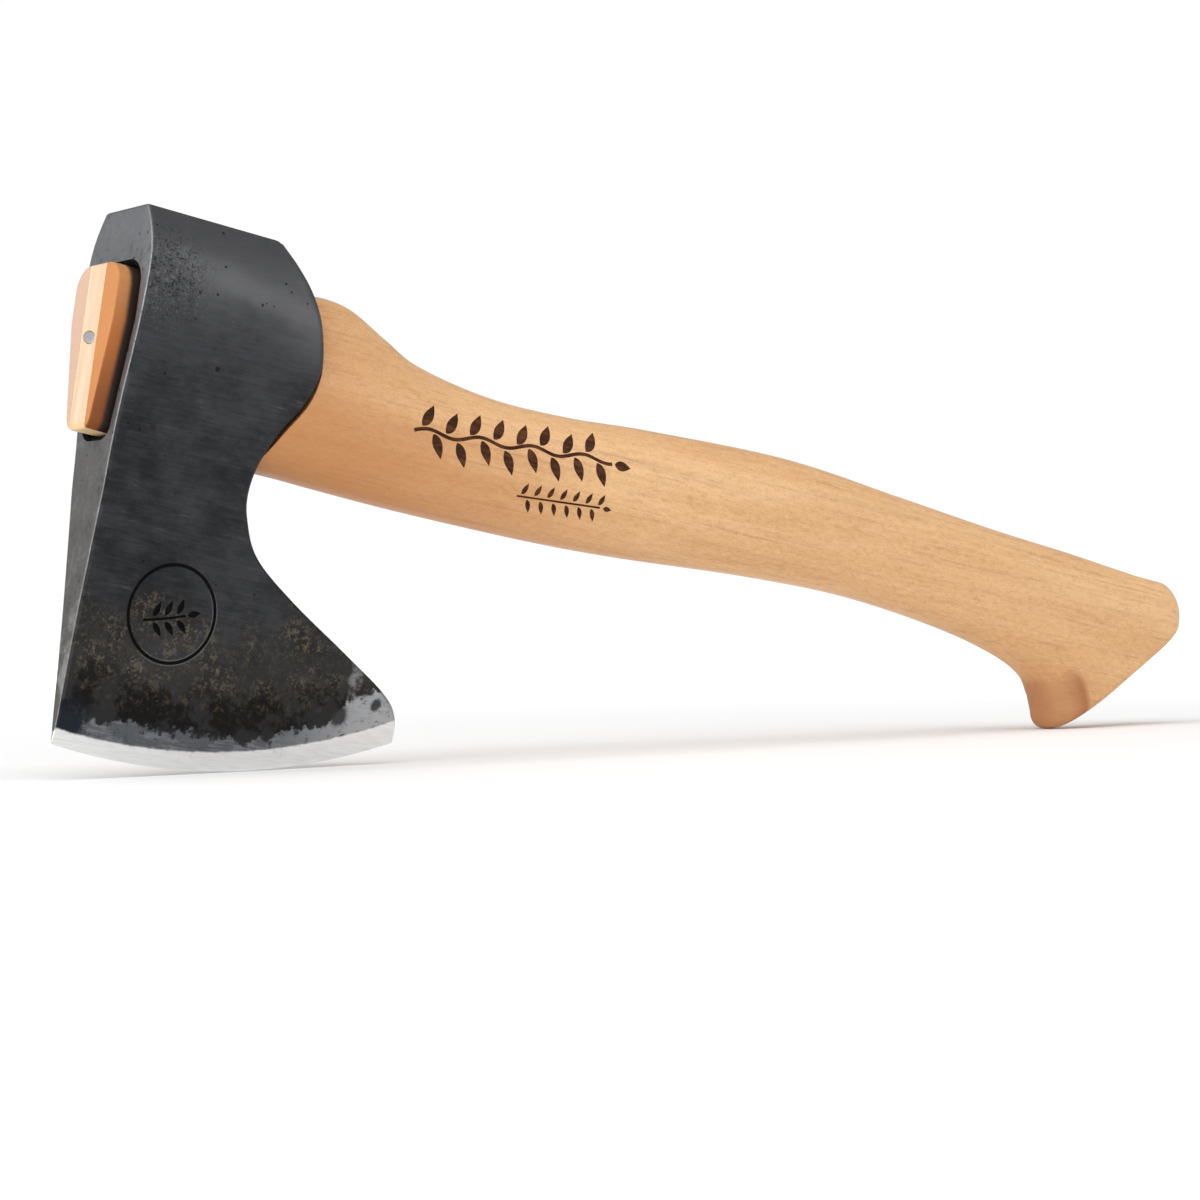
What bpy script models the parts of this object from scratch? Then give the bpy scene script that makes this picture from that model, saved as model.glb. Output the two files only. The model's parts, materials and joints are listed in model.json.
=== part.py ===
"""Carving hatchet: a bearded head wedged on a curved handle. Metres, +Z up.

Everything is designed in the hatchet's own axes and then stood on its cutting edge and its knob.
Own axes: X runs along the handle from the head's flat front to the butt, Z points to the poll, and
Y = 0 is the plane of symmetry. Both large forms are lofts: a grid of points on the -Y half, whose
four sides lie on Y = 0, mirrored to the other half.
"""

import math

import bmesh
import bpy
import numpy as np

# Fits
GAP = 0.00025  # clearance between neighbouring pieces
LEAD = 0.0100  # how far a cutter starts in front of what it cuts
MERGE = 0.00001  # points closer than this become one
SHARP = math.radians(30)  # edges that bend more than this are shaded sharp

# Head. Each station runs from the front face to the rear outline and gives
# (front z, rear x, rear z, front half thickness, rear half thickness, sag below a straight line).
STATIONS = (
    (0.0360, 0.0393, 0.0360, 0.0101, 0.0096, 0.0),
    (0.0315, 0.0437, 0.0305, 0.0129, 0.0121, 0.0),
    (0.0270, 0.0478, 0.0246, 0.0148, 0.0137, 0.0),
    (0.0215, 0.0508, 0.0179, 0.0157, 0.0146, 0.0),
    (0.0140, 0.0528, 0.0098, 0.0153, 0.0143, 0.0),
    (0.0070, 0.0529, 0.0042, 0.0144, 0.0136, 0.0),
    (-0.0010, 0.0507, -0.0029, 0.0129, 0.0124, 0.0),
    (-0.0090, 0.0455, -0.0111, 0.0112, 0.0110, 0.0),
    (-0.0170, 0.0417, -0.0187, 0.0098, 0.0097, 0.0),
    (-0.0250, 0.0402, -0.0266, 0.0088, 0.0086, 0.0),
    (-0.0330, 0.0414, -0.0335, 0.0081, 0.0078, 0.0),
    (-0.0420, 0.0466, -0.0422, 0.0068, 0.0064, 0.0),
    (-0.0520, 0.0595, -0.0510, 0.0054, 0.0049, 0.0004),
    (-0.0640, 0.0780, -0.0613, 0.0038, 0.0035, 0.0016),
    (-0.0770, 0.0915, -0.0692, 0.0024, 0.0023, 0.0038),
    (-0.0885, 0.0959, -0.0750, 0.0013, 0.0013, 0.0058),
    (-0.0946, 0.0961, -0.0810, 0.0001, 0.0001, 0.0070),
)
STATION_STEPS = 3  # rows of points for each stretch between stations
SHOULDER_STATIONS = 11  # as many, from the poll down, face the handle's shoulder
CHEEK_STEPS = 9
CROWN_BEVEL = 0.0005  # between the flat front and a cheek
POLL_BEVEL = 0.0005
REAR_ROUND = 0.0024  # radius along the rear outline
ROUND_STEPS = 4

# Tongue of the handle, and the eye that it fills
TONGUE_TOP = 0.0210
TONGUE_BOTTOM = -0.0198
TONGUE_HALF_WIDE = 0.0104  # half width from TONGUE_WAIST up
TONGUE_HALF_NARROW = 0.0060  # half width at the bottom
TONGUE_WAIST = 0.0070
TONGUE_TOP_ROUND = 0.0058
TONGUE_BOTTOM_ROUND = 0.0038
TONGUE_ROUND_POINTS = 7
TONGUE_PROUD = 0.0052  # how far the tongue's end stands out of the head's front
TONGUE_ROOT = 0.0620  # how far back the tongue reaches into the handle
TONGUE_CHAMFER = 0.0006
MOUTH_FLARE = 0.0012  # the eye widens by this at the front
MOUTH_DEPTH = 0.0012

# Wedges
WEDGE_WIDTH = 0.0078  # at the tongue's end
WEDGE_TIP_WIDTH = 0.0016
WEDGE_DEPTH = 0.0360
WEDGE_REACH = 0.0350  # half height of the slab that the wedge is trimmed from
CROSS_LENGTH = 0.0058
CROSS_HEIGHT = 0.0029
CROSS_DEPTH = 0.0130
CROSS_TAPER = 0.35
CROSS_POINTS = 24
CROSS_Z = 0.0028
CROSS_SLANT = math.radians(12)

# Handle. Matching points on its top and bottom lines, in pairs:
# (top x, top z, bottom x, bottom z, half width, squareness of the upper half, of the lower half).
PAIRS = (
    (0.0380, 0.0240, 0.0330, -0.0206, 0.0120, 2.5, 2.5),
    (0.0515, 0.0264, 0.0500, -0.0206, 0.0121, 2.5, 2.5),
    (0.0630, 0.0260, 0.0630, -0.0211, 0.0120, 2.5, 2.5),
    (0.0750, 0.0209, 0.0760, -0.0216, 0.0117, 2.4, 2.4),
    (0.0870, 0.0159, 0.0890, -0.0219, 0.0115, 2.4, 2.4),
    (0.1110, 0.0125, 0.1120, -0.0221, 0.0114, 2.4, 2.4),
    (0.1370, 0.0127, 0.1370, -0.0220, 0.0115, 2.4, 2.4),
    (0.1650, 0.0148, 0.1640, -0.0210, 0.0116, 2.4, 2.4),
    (0.2150, 0.0169, 0.2100, -0.0182, 0.0117, 2.4, 2.4),
    (0.2600, 0.0145, 0.2470, -0.0175, 0.0114, 2.4, 2.4),
    (0.3000, 0.0121, 0.2840, -0.0202, 0.0110, 2.5, 2.4),
    (0.3300, 0.0108, 0.3100, -0.0246, 0.0107, 2.9, 2.4),
    (0.3500, 0.0095, 0.3230, -0.0294, 0.0105, 3.6, 2.4),
    (0.3620, 0.0087, 0.3283, -0.0355, 0.0104, 4.2, 2.5),
)
PAIR_STEPS = 4
FLANK_STEPS = 18
# Butt: a slanting cut between the round nose at its top and the small round tip of the knob.
NOSE_CENTRE = (0.3720, -0.0011)
NOSE_RADIUS = 0.0098
TIP_CENTRE = (0.3340, -0.0395)
TIP_RADIUS = 0.0040
BUTT_SQUARENESS = 6.0  # of the cut's upper half
TIP_SQUARENESS = 2.8  # of its lower half
BUTT_HALF_WIDTH = 0.0103
BUTT_ROUND = 0.0022  # radius of the rim round the cut
BUTT_STEPS = 12

# Stance: the pitch is found by halving the range from level to the steepest
STEEPEST = math.radians(30)
HALVINGS = 40


def curve_through(rows, steps):
    """Catmull-Rom interpolation of rows of numbers, with `steps` rows for each stretch."""
    rows = np.array(rows)
    padded = np.vstack([2 * rows[0] - rows[1], rows, 2 * rows[-1] - rows[-2]])
    found = []
    for a, b, c, d in zip(padded, padded[1:], padded[2:], padded[3:]):
        for t in np.arange(steps) / steps:
            cubic = 2 * b + (c - a) * t
            cubic = cubic + (2 * a - 5 * b + 4 * c - d) * t**2
            cubic = cubic + (3 * b - a - 3 * c + d) * t**3
            found.append(cubic / 2)
    found.append(rows[-1])
    return np.array(found)


def quarter(steps):
    """Angles from 0 to a right angle."""
    return np.linspace(0, math.pi / 2, steps + 1)


def material(name, colour, roughness, metallic=0.0):
    made = bpy.data.materials.new(name)
    made.use_nodes = True
    shader = made.node_tree.nodes["Principled BSDF"]
    shader.inputs["Base Color"].default_value = (*colour, 1)
    shader.inputs["Roughness"].default_value = roughness
    shader.inputs["Metallic"].default_value = metallic
    return made


def add_object(name, mesh, collection, finish=None):
    made = bpy.data.objects.new(name, mesh)
    collection.objects.link(made)
    if finish:
        mesh.materials.append(finish)
    return made


def as_cutter(obj):
    obj.hide_render = True
    obj.display_type = "WIRE"
    return obj


def cut(obj, cutter, operation="DIFFERENCE"):
    boolean = obj.modifiers.new(f"{operation.lower()}_{cutter.name}", "BOOLEAN")
    boolean.operation = operation
    boolean.object = cutter
    boolean.solver = "EXACT"


def grid_mesh(name, rows):
    """Quads over rows of points."""
    shape = bmesh.new()
    points = [[shape.verts.new(p) for p in row] for row in rows]
    for upper, lower in zip(points, points[1:]):
        for i in range(len(upper) - 1):
            shape.faces.new((upper[i], lower[i], lower[i + 1], upper[i + 1]))
    mesh = bpy.data.meshes.new(name)
    shape.to_mesh(mesh)
    shape.free()
    return mesh


def mirrored(mesh):
    """The -Y half, open on the plane of symmetry, joined to its mirror image with its faces pointing out."""
    shape = bmesh.new()
    shape.from_mesh(mesh)
    bmesh.ops.remove_doubles(shape, verts=shape.verts, dist=MERGE)
    copied = bmesh.ops.duplicate(shape, geom=shape.verts[:] + shape.edges[:] + shape.faces[:])["geom"]
    for vert in [v for v in copied if isinstance(v, bmesh.types.BMVert)]:
        vert.co.y = -vert.co.y
    bmesh.ops.remove_doubles(shape, verts=shape.verts, dist=MERGE)
    bmesh.ops.recalc_face_normals(shape, faces=shape.faces)
    shape.to_mesh(mesh)
    shape.free()
    mesh.shade_smooth()
    mesh.set_sharp_from_angle(angle=SHARP)
    return mesh


def loft_mesh(name, loops):
    """A closed solid through loops with equal numbers of points."""
    shape = bmesh.new()
    rings = [[shape.verts.new(p) for p in loop] for loop in loops]
    for near, far in zip(rings, rings[1:]):
        for i in range(len(near)):
            j = (i + 1) % len(near)
            shape.faces.new((near[i], near[j], far[j], far[i]))
    shape.faces.new(rings[0])
    shape.faces.new(rings[-1])
    bmesh.ops.recalc_face_normals(shape, faces=shape.faces)
    mesh = bpy.data.meshes.new(name)
    shape.to_mesh(mesh)
    shape.free()
    mesh.shade_smooth()
    mesh.set_sharp_from_angle(angle=SHARP)
    return mesh


def head_row(station, inset=0.0, drop=0.0):
    """Points of one station on the -Y half, from the middle of the front to the middle of the rear."""
    front_z, rear_x, rear_z, front_half, rear_half, sag = station
    front_half, rear_half = max(front_half - inset, 0), max(rear_half - inset, 0)
    crown = min(CROWN_BEVEL, front_half / 2)
    rear = min(REAR_ROUND, rear_half)
    flat = [(0, 0), (0, crown - front_half)]
    for i in range(CHEEK_STEPS + 1):
        x = crown + (rear_x - rear - crown) * i / CHEEK_STEPS
        flat.append((x, -(front_half + (rear_half - front_half) * x / rear_x)))
    for angle in quarter(ROUND_STEPS)[1:]:
        flat.append((rear_x - rear + rear * math.sin(angle), rear - rear_half - rear * math.cos(angle)))
    flat.append((rear_x, 0))
    row = []
    for x, y in flat:
        u = x / rear_x
        z = front_z + (rear_z - front_z) * u - 4 * sag * u * (1 - u) - drop
        row.append((x + inset * (1 - 2 * u), y, z))
    return row


def head_mesh():
    stations = curve_through(STATIONS, STATION_STEPS)
    poll = stations[0]
    rows = [[(x, 0, z) for x, y, z in head_row(poll, POLL_BEVEL)]]
    rows += [head_row(poll, POLL_BEVEL), head_row(poll, 0, POLL_BEVEL)]
    rows += [head_row(station) for station in stations[1:]]
    rows.append([(x, 0, z) for x, y, z in rows[-1]])
    return mirrored(grid_mesh("head", rows))


def head_outline(grow):
    """The head's side outline moved out by a clearance, closed across its front."""
    rows = curve_through(STATIONS, STATION_STEPS)[: SHOULDER_STATIONS * STATION_STEPS]
    rear = [(x + grow, z) for _, x, z, *_ in rows]
    above = rear[0][1] + LEAD
    return [(0.0, above), (rear[0][0], above), *rear, (0.0, rear[-1][1])]


def tongue_loop(x, grow):
    """The tongue's outline at one place along it: a tall wedge shape with round corners."""
    lean = math.atan2(TONGUE_HALF_WIDE - TONGUE_HALF_NARROW, TONGUE_WAIST - TONGUE_BOTTOM)
    side = []
    y, z = TONGUE_HALF_WIDE - TONGUE_TOP_ROUND, TONGUE_TOP - TONGUE_TOP_ROUND
    for angle in np.linspace(math.pi / 2, 0, TONGUE_ROUND_POINTS):
        side.append((y + TONGUE_TOP_ROUND * math.cos(angle), z + TONGUE_TOP_ROUND * math.sin(angle)))
    side.append((TONGUE_HALF_WIDE, TONGUE_WAIST))
    y, z = TONGUE_HALF_NARROW - TONGUE_BOTTOM_ROUND, TONGUE_BOTTOM + TONGUE_BOTTOM_ROUND
    for angle in np.linspace(-lean, -math.pi / 2, TONGUE_ROUND_POINTS - 1):
        side.append((y + TONGUE_BOTTOM_ROUND * math.cos(angle), z + TONGUE_BOTTOM_ROUND * math.sin(angle)))
    middle = (TONGUE_TOP + TONGUE_BOTTOM) / 2
    wide, tall = 1 + grow / TONGUE_HALF_WIDE, 1 + 2 * grow / (TONGUE_TOP - TONGUE_BOTTOM)
    side = [(y * wide, middle + (z - middle) * tall) for y, z in side]
    return [(x, y, z) for y, z in side] + [(x, -y, z) for y, z in reversed(side)]


def tongue_mesh(name, front, rear, grow=0.0, chamfer=0.0):
    loops = [tongue_loop(front, grow - chamfer)]
    if chamfer:
        loops.append(tongue_loop(front + chamfer, grow))
    loops.append(tongue_loop(rear, grow))
    return loft_mesh(name, loops)


def wedge_mesh(name, grow=0.0, lead=0.0):
    """The wedge as a tapering slab, taller than the tongue. `lead` lengthens it to the front."""
    taper = (WEDGE_TIP_WIDTH - WEDGE_WIDTH) / WEDGE_DEPTH
    loops = []
    for depth in (-lead, WEDGE_DEPTH + 2 * grow):
        half = (WEDGE_WIDTH + taper * depth) / 2 + grow
        x = depth - TONGUE_PROUD
        corners = ((-half, -WEDGE_REACH), (half, -WEDGE_REACH), (half, WEDGE_REACH), (-half, WEDGE_REACH))
        loops.append([(x, y, z) for y, z in corners])
    return loft_mesh(name, loops)


def cross_wedge_mesh(name, grow=0.0, lead=0.0):
    """An oval that tapers to a blunt tip. `lead` lengthens it in front of the tongue's end."""
    loops = []
    for depth in (-lead, 0, CROSS_DEPTH + grow):
        size = 1 - (1 - CROSS_TAPER) * max(depth, 0) / CROSS_DEPTH
        loop = []
        for angle in np.arange(CROSS_POINTS) * math.tau / CROSS_POINTS:
            along = (CROSS_LENGTH / 2 * size + grow) * math.cos(angle)
            across = (CROSS_HEIGHT / 2 * size + grow) * math.sin(angle)
            y = along * math.cos(CROSS_SLANT) - across * math.sin(CROSS_SLANT)
            z = along * math.sin(CROSS_SLANT) + across * math.cos(CROSS_SLANT)
            loop.append((depth - TONGUE_PROUD, y, CROSS_Z + z))
        loops.append(loop)
    return loft_mesh(name, loops if lead else loops[1:])


def flank_row(pair):
    """Half an oval from the top line to the bottom line, on the -Y side."""
    top_x, top_z, low_x, low_z, half, square_top, square_low = pair
    top, low = np.array((top_x, top_z)), np.array((low_x, low_z))
    row = []
    for angle in np.linspace(math.pi / 2, -math.pi / 2, FLANK_STEPS + 1):
        power = 2 / (square_top if angle > 0 else square_low)
        share = math.copysign(abs(math.sin(angle)) ** power, angle)
        x, z = (top + low) / 2 + (top - low) / 2 * share
        row.append((x, -half * max(math.cos(angle), 0) ** power, z))
    return row


def butt_normal():
    """Angle of the butt's outward direction: the cut touches the nose's circle and the tip's."""
    run, rise = NOSE_CENTRE[0] - TIP_CENTRE[0], NOSE_CENTRE[1] - TIP_CENTRE[1]
    slope = math.atan2(rise, run) - math.asin((NOSE_RADIUS - TIP_RADIUS) / math.hypot(run, rise))
    return slope - math.pi / 2


def on_circle(centre, radius, angle):
    return centre[0] + radius * math.cos(angle), centre[1] + radius * math.sin(angle)


def butt_pairs():
    """The fan of sections that goes round the nose and the tip, down to the slanting cut."""
    end = np.array((BUTT_HALF_WIDTH, BUTT_SQUARENESS, TIP_SQUARENESS))
    pairs = []
    for step in range(1, BUTT_STEPS + 1):
        t = 1 - (1 - step / BUTT_STEPS) ** 2
        nose = math.pi / 2 + (butt_normal() - math.pi / 2) * t
        tip = math.pi + (butt_normal() + math.pi) * t
        ends = on_circle(NOSE_CENTRE, NOSE_RADIUS, nose) + on_circle(TIP_CENTRE, TIP_RADIUS, tip)
        pairs.append((*ends, *(PAIRS[-1][4:] + (end - PAIRS[-1][4:]) * t)))
    return pairs


def rim_eased(point):
    """Pulls a flank in where it comes close to the cut, so that the butt has a round rim."""
    x, y, z = point
    touch = on_circle(NOSE_CENTRE, NOSE_RADIUS, butt_normal())
    depth = (touch[0] - x) * math.cos(butt_normal()) + (touch[1] - z) * math.sin(butt_normal())
    short = BUTT_ROUND - min(max(depth, 0), BUTT_ROUND)
    inset = BUTT_ROUND - math.sqrt(BUTT_ROUND**2 - short**2)
    return x, min(y + inset, 0), z


def handle_mesh():
    pairs = list(curve_through(PAIRS, PAIR_STEPS)) + butt_pairs()
    rows = [[rim_eased(point) for point in flank_row(pair)] for pair in pairs]
    rows.insert(0, [(x, 0, z) for x, y, z in rows[0]])
    rows.append([(x, 0, z) for x, y, z in rows[-1]])
    return mirrored(grid_mesh("handle", rows))


def make_head(parts, cutters):
    steel = material("forged_steel", (0.055, 0.058, 0.062), 0.48, 0.85)
    head = add_object("head", head_mesh(), parts, steel)
    eye = tongue_mesh("eye_cutter", -2 * LEAD, TONGUE_ROOT + LEAD, GAP)
    cut(head, as_cutter(add_object("eye_cutter", eye, cutters)))
    mouth = [tongue_loop(x, GAP + MOUTH_FLARE * (1 - x / MOUTH_DEPTH)) for x in (-MOUTH_DEPTH, MOUTH_DEPTH)]
    mouth_cutter = add_object("mouth_cutter", loft_mesh("mouth_cutter", mouth), cutters)
    cut(head, as_cutter(mouth_cutter))
    return head


def make_handle(parts, cutters):
    beech = material("oiled_beech", (0.72, 0.43, 0.22), 0.42)
    handle = add_object("handle", handle_mesh(), parts, beech)
    beside = TONGUE_HALF_WIDE + LEAD
    clear = [[(x, y, z) for x, z in head_outline(GAP)] for y in (-beside, beside)]
    cut(handle, as_cutter(add_object("rear_cutter", loft_mesh("rear_cutter", clear), cutters)))
    tongue = tongue_mesh("tongue", -TONGUE_PROUD, TONGUE_ROOT, 0, TONGUE_CHAMFER)
    cut(handle, as_cutter(add_object("tongue", tongue, cutters)), "UNION")
    kerf = wedge_mesh("kerf_cutter", GAP, LEAD)
    cut(handle, as_cutter(add_object("kerf_cutter", kerf, cutters)))
    return handle


def make_wedges(parts, cutters):
    maple = material("pale_maple", (0.86, 0.66, 0.40), 0.5)
    wedge = add_object("eye_wedge", wedge_mesh("eye_wedge"), parts, maple)
    trim = tongue_mesh("wedge_trim", -TONGUE_PROUD, TONGUE_ROOT, 0, TONGUE_CHAMFER)
    cut(wedge, as_cutter(add_object("wedge_trim", trim, cutters)), "INTERSECT")
    hole = cross_wedge_mesh("cross_cutter", GAP, LEAD)
    cut(wedge, as_cutter(add_object("cross_cutter", hole, cutters)))
    steel = material("bright_steel", (0.62, 0.63, 0.64), 0.3, 1.0)
    add_object("cross_wedge", cross_wedge_mesh("cross_wedge"), parts, steel)


def stand(stance, head, handle):
    """Pitches the hatchet until its edge and its knob are level, and centres it over the origin."""
    blade = np.array([v.co[:] for v in head.data.vertices])
    grip = np.array([v.co[:] for v in handle.data.vertices])
    both = np.vstack([blade, grip, [(-TONGUE_PROUD, 0, TONGUE_TOP), (-TONGUE_PROUD, 0, TONGUE_BOTTOM)]])

    def heights(points, pitch):
        return points[:, 2] * math.cos(pitch) - points[:, 0] * math.sin(pitch)

    low, high = 0.0, STEEPEST
    for _ in range(HALVINGS):
        pitch = (low + high) / 2
        if heights(grip, pitch).min() > heights(blade, pitch).min():
            low = pitch
        else:
            high = pitch
    across = both[:, 0] * math.cos(pitch) + both[:, 2] * math.sin(pitch)
    stance.rotation_euler = (0, pitch, 0)
    stance.location = (-(across.min() + across.max()) / 2, 0, -heights(both, pitch).min())


def main():
    for obj in list(bpy.data.objects):
        bpy.data.objects.remove(obj, do_unlink=True)
    scene = bpy.context.scene
    parts = bpy.data.collections.new("carving_hatchet")
    cutters = bpy.data.collections.new("cutters")
    scene.collection.children.link(parts)
    scene.collection.children.link(cutters)
    stance = bpy.data.objects.new("stance", None)
    parts.objects.link(stance)
    head = make_head(parts, cutters)
    handle = make_handle(parts, cutters)
    make_wedges(parts, cutters)
    stand(stance, head, handle)
    for obj in [*parts.objects, *cutters.objects]:
        if obj is not stance:
            obj.parent = stance


main()
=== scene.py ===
"""Carving hatchet: the finished look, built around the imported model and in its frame. Metres, +Z up.

The pieces come in the order in which they go together: the forged head, the beech handle that fills its
eye, the pale wooden wedge that spreads the handle's tongue, and the steel wedge driven across it.
"""

import json
import math

import bmesh
import bpy
import numpy as np
from mathutils import Matrix, Vector, noise


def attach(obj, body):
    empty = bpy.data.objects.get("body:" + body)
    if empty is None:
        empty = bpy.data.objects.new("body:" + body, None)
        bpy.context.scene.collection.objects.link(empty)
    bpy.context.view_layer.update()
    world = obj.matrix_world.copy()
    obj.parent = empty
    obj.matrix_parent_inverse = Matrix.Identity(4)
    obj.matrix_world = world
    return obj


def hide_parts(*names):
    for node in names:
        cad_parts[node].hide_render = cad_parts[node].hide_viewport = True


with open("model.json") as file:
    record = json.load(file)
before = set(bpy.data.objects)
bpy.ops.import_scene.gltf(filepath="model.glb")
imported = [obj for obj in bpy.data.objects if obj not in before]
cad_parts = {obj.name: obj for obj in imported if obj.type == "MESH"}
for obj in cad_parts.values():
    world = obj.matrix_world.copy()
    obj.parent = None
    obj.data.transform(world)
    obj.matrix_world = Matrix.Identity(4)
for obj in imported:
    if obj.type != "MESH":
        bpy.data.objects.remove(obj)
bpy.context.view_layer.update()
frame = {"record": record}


# ---------------------------------------------------------------------------------------------------
# Viewpoint. A long lens held low, in front of the head's flat front and a little to the left of the
# hatchet's middle, so that the front face, the near cheek and the whole handle show.

VIEW_YAW = math.radians(-38.0335)
VIEW_RISE = math.radians(0.5028)
VIEW_ROLL = math.radians(-1.1608)

lens = bpy.data.cameras.new("long_lens")
lens.lens = 90
lens.sensor_width = 36
lens.clip_start = 0.01
camera = bpy.data.objects.new("camera", lens)
camera.matrix_world = (
    Matrix.Translation((-0.53080, -0.63961, 0.03395))
    @ Matrix.Rotation(VIEW_YAW, 4, "Z")
    @ Matrix.Rotation(math.pi / 2 + VIEW_RISE, 4, "X")
    @ Matrix.Rotation(VIEW_ROLL, 4, "Z")
)
bpy.context.scene.collection.objects.link(camera)
bpy.context.scene.camera = camera


# ---------------------------------------------------------------------------------------------------
# Studio. A white sweep under a broad, high light that reaches all of it evenly, a soft box low on each
# side of the viewpoint, and a white surround. The far part of the sweep is lit on its own, so that it
# meets the surround without a line. Colours are shown without a film curve.

FLOOR_RADIUS = 6.0
FLOOR_DROP = 0.0002
SURROUND_LIGHT = 0.48
SURROUND_SEEN = 1.02
FAR_GLOW = 0.5

bpy.context.scene.view_settings.view_transform = "Standard"


class Nodes:
    """Builds the nodes of one tree: a node's type, then its settings, then its sockets."""

    def __init__(self, tree):
        self.tree = tree

    def add(self, kind, settings=None, inputs=None, output=0):
        node = self.tree.nodes.new(kind)
        for name, value in (settings or {}).items():
            setattr(node, name, value)
        for name, value in (inputs or {}).items():
            self.feed(node.inputs[name], value)
        return Value(self, node.outputs[output])

    def feed(self, socket, value):
        if isinstance(value, Value):
            self.tree.links.new(value.socket, socket)
        elif socket.type == "RGBA":
            socket.default_value = (*value[:3], 1)
        else:
            socket.default_value = value

    def surface(self, name, value):
        """Feeds one input of the material's own shader."""
        self.feed(self.tree.nodes["Principled BSDF"].inputs[name], value)

    def maths(self, operation, *values):
        return self.add("ShaderNodeMath", {"operation": operation}, dict(enumerate(values)))

    def blend(self, share, first, second):
        """Colour between first and second."""
        return self.add("ShaderNodeMix", {"data_type": "RGBA"}, {0: share, 6: first, 7: second}, output=2)

    def step(self, value, start, end, high=1.0):
        """Goes smoothly from 0 to high as value goes from start to end."""
        inputs = {"Value": value, "From Min": start, "From Max": end, "To Min": 0.0, "To Max": high}
        return self.add("ShaderNodeMapRange", {"interpolation_type": "SMOOTHSTEP"}, inputs)

    def stretched(self, place, scale, turn=(0, 0, 0), shift=(0, 0, 0)):
        """Coordinates multiplied by a scale for each axis, after a turn."""
        inputs = {"Vector": place, "Rotation": turn, "Scale": scale, "Location": shift}
        return self.add("ShaderNodeMapping", {"vector_type": "POINT"}, inputs)

    def cloud(self, place, scale=1.0, detail=3.0, rough=0.55):
        """Cloudy unevenness about 0.5."""
        inputs = {"Vector": place, "Scale": scale, "Detail": detail, "Roughness": rough}
        return self.add("ShaderNodeTexNoise", {}, inputs)

    def streaks(self, place, scale, turn=(0, 0, 0), detail=3.0, rough=0.55):
        """Unevenness about 0, drawn out by a scale for each axis after a turn."""
        return self.cloud(self.stretched(place, scale, turn), 1.0, detail, rough) - 0.5

    def axis(self, vector, name):
        return self.add("ShaderNodeSeparateXYZ", {}, {"Vector": vector}, output=name)

    def distance(self, place, centre):
        inputs = {0: place, 1: centre}
        return self.add("ShaderNodeVectorMath", {"operation": "DISTANCE"}, inputs, output="Value")

    def bump(self, height, strength, distance):
        """The normal of a surface that rises and falls with height."""
        inputs = {"Strength": strength, "Distance": distance, "Height": height}
        return self.add("ShaderNodeBump", {}, inputs)


class Value:
    """An output socket that takes part in Python arithmetic."""

    def __init__(self, nodes, socket):
        self.nodes = nodes
        self.socket = socket

    def __add__(self, other):
        return self.nodes.maths("ADD", self, other)

    def __radd__(self, other):
        return self.nodes.maths("ADD", other, self)

    def __sub__(self, other):
        return self.nodes.maths("SUBTRACT", self, other)

    def __rsub__(self, other):
        return self.nodes.maths("SUBTRACT", other, self)

    def __mul__(self, other):
        return self.nodes.maths("MULTIPLY", self, other)

    def __rmul__(self, other):
        return self.nodes.maths("MULTIPLY", other, self)

    def __truediv__(self, other):
        return self.nodes.maths("DIVIDE", self, other)

    def __abs__(self):
        return self.nodes.maths("ABSOLUTE", self)


def new_material(name):
    made = bpy.data.materials.new(name)
    made.use_nodes = True
    return made, Nodes(made.node_tree)


def white_surround():
    """An even white world, dimmer as a light than it looks behind the hatchet."""
    world = bpy.data.worlds.new("white_surround")
    world.use_nodes = True
    nodes = Nodes(world.node_tree)
    background = world.node_tree.nodes["Background"]
    seen = nodes.add("ShaderNodeLightPath")
    background.inputs["Strength"].default_value = 1.0
    shade = nodes.blend(seen, (SURROUND_LIGHT,) * 3, (SURROUND_SEEN,) * 3)
    nodes.feed(background.inputs["Color"], shade)
    bpy.context.scene.world = world


def high_light(turn, spread, strength):
    """Parallel light from as wide a patch of sky as `spread`, so that its shadows are soft."""
    light = bpy.data.lights.new("high_light", "SUN")
    light.angle = spread
    light.energy = strength
    lamp = bpy.data.objects.new("high_light", light)
    lamp.rotation_euler = turn
    bpy.context.scene.collection.objects.link(lamp)


def soft_box(name, place, aim, size, power):
    """A rectangular light that faces the point it is aimed at."""
    light = bpy.data.lights.new(name, "AREA")
    light.shape = "RECTANGLE"
    light.size, light.size_y = size
    light.energy = power
    box = bpy.data.objects.new(name, light)
    facing = (Vector(aim) - Vector(place)).to_track_quat("-Z", "Y")
    box.matrix_world = Matrix.Translation(place) @ facing.to_matrix().to_4x4()
    bpy.context.scene.collection.objects.link(box)


def sweep():
    """A wide paper floor that glows more the farther it is from the hatchet."""
    shape = bmesh.new()
    bmesh.ops.create_circle(shape, cap_ends=True, segments=96, radius=FLOOR_RADIUS)
    bmesh.ops.translate(shape, verts=shape.verts, vec=(0, 0, -FLOOR_DROP))
    mesh = bpy.data.meshes.new("floor")
    shape.to_mesh(mesh)
    shape.free()
    paper, nodes = new_material("white_paper")
    place = nodes.add("ShaderNodeTexCoord", output="Object")
    fibre = nodes.cloud(place, 900.0, 2.0)
    nodes.surface("Base Color", nodes.blend(fibre, (0.93, 0.93, 0.93), (0.95, 0.95, 0.95)))
    away = nodes.add("ShaderNodeVectorMath", {"operation": "LENGTH"}, {0: place}, output="Value")
    nodes.surface("Emission Strength", 1.0)
    glow = nodes.blend(nodes.step(away, 0.15, 1.3), (0.0,) * 3, (FAR_GLOW,) * 3)
    nodes.surface("Emission Color", glow)
    nodes.surface("Roughness", 0.9)
    nodes.surface("Specular IOR Level", 0.1)
    mesh.materials.append(paper)
    floor = bpy.data.objects.new("floor", mesh)
    bpy.context.scene.collection.objects.link(floor)


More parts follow.
